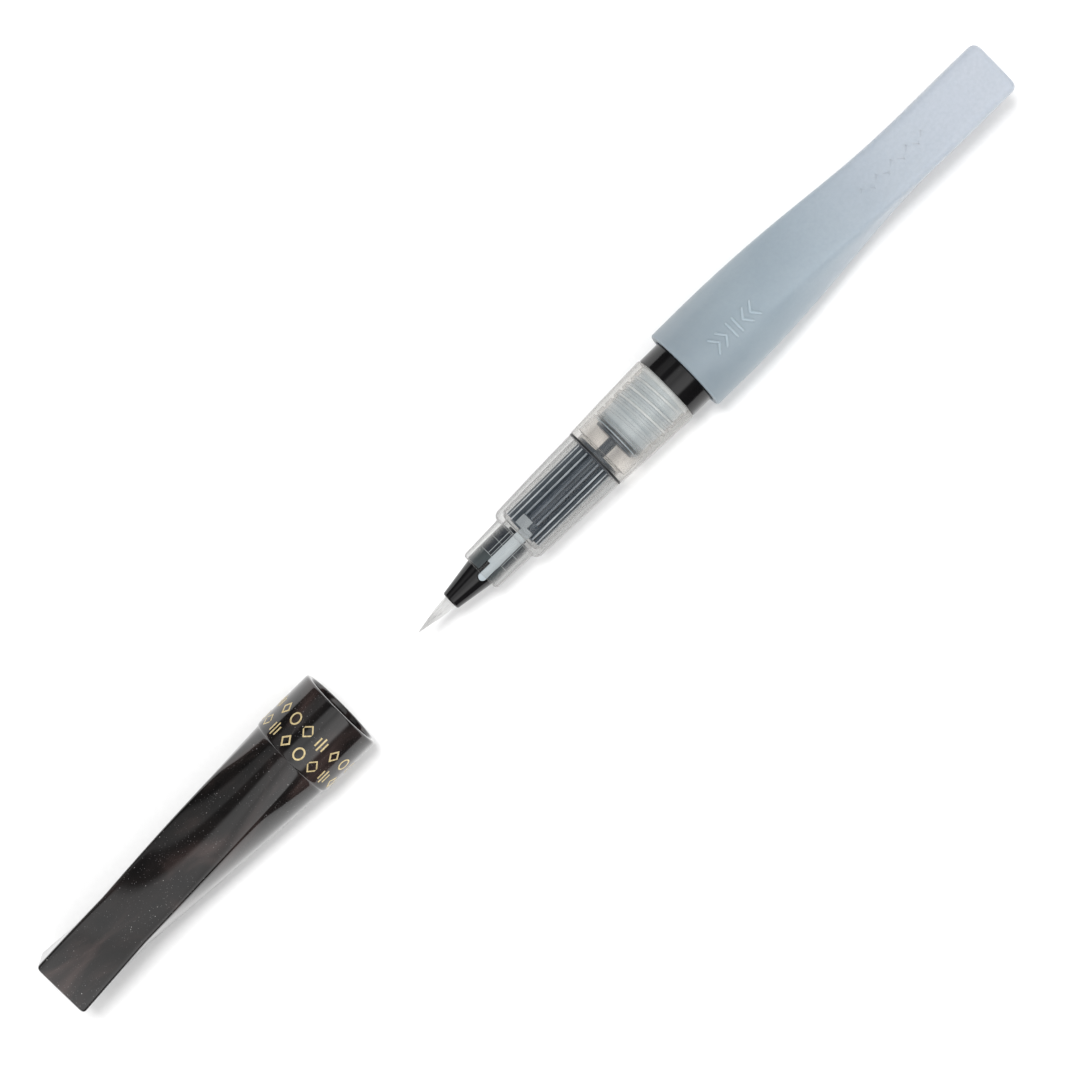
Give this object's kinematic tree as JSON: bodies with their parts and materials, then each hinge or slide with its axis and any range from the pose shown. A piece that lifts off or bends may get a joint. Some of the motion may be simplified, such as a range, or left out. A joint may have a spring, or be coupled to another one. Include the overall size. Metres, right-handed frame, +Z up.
{
  "type": "brush pen",
  "caption": "Squeeze-barrel brush pen with a twisted square-to-round body, clear threaded nose section, fine nylon tip and a matching cap lying off the nose.",
  "frame": {"origin": "on the surface that the pen and cap lie on, below the middle of the laid-out length", "axes": "+X along the pen's axis towards the tail, -X towards the cap's closed end, +Z up"},
  "size_m": [0.2206, 0.0162, 0.0162],
  "materials": {
    "cap_black": "black gloss with fine silver glitter",
    "inner_cup": "milky",
    "bristle": "translucent nylon fibres",
    "root_resin": "cured resin",
    "wick": "porous fibre",
    "ferrule_black": "glossy",
    "bush_grey": "satin",
    "holder_grey": "satin",
    "key_grey": "translucent",
    "clear": "clear",
    "feed_slate": "moulded",
    "seal_black": "matt",
    "plug_white": "milky",
    "ring_black": "glossy",
    "barrel_frost": "frosted, squeezable",
    "ink": "liquid"
  },
  "bodies": {
    "barrel": {"barrel": "barrel_frost", "ink_charge": "ink"},
    "seal": {"seal_plug": "plug_white", "plug_gasket": "seal_black"},
    "ring": {"stopper_ring": "ring_black"},
    "section": {"bristle_tuft": "bristle", "tuft_root_plug": "root_resin", "relay_core": "wick", "ferrule": "ferrule_black", "front_bush": "bush_grey", "tip_holder": "holder_grey", "vent_key": "key_grey", "nose_housing": "clear", "collector": "feed_slate", "feed_rod": "wick", "joint_gasket": "seal_black", "threaded_sleeve": "clear"},
    "cap": {"cap_shell": "cap_black", "inner_cap": "inner_cup"}
  },
  "joints": [
    {"name": "ring_slide", "type": "slide", "parent": "barrel", "child": "ring", "axis": [-1, 0, 0], "range_m": [0, 0.005]},
    {"name": "section_twist", "type": "hinge", "parent": "ring", "child": "section", "pos_m": [0, 0, 0.0081], "axis": [-1, 0, 0], "range_deg": [0, 900]},
    {"name": "cap_slide", "type": "slide", "parent": "section", "child": "cap", "axis": [1, 0, 0], "range_m": [0, 0.0809]},
    {"name": "plug_push", "type": "slide", "parent": "barrel", "child": "seal", "axis": [1, 0, 0], "range_m": [0, 0.0042]}
  ],
  "couplings": [
    {"joint": "ring_slide", "follows": "section_twist", "m_per_rad": 0.00031831}
  ]
}
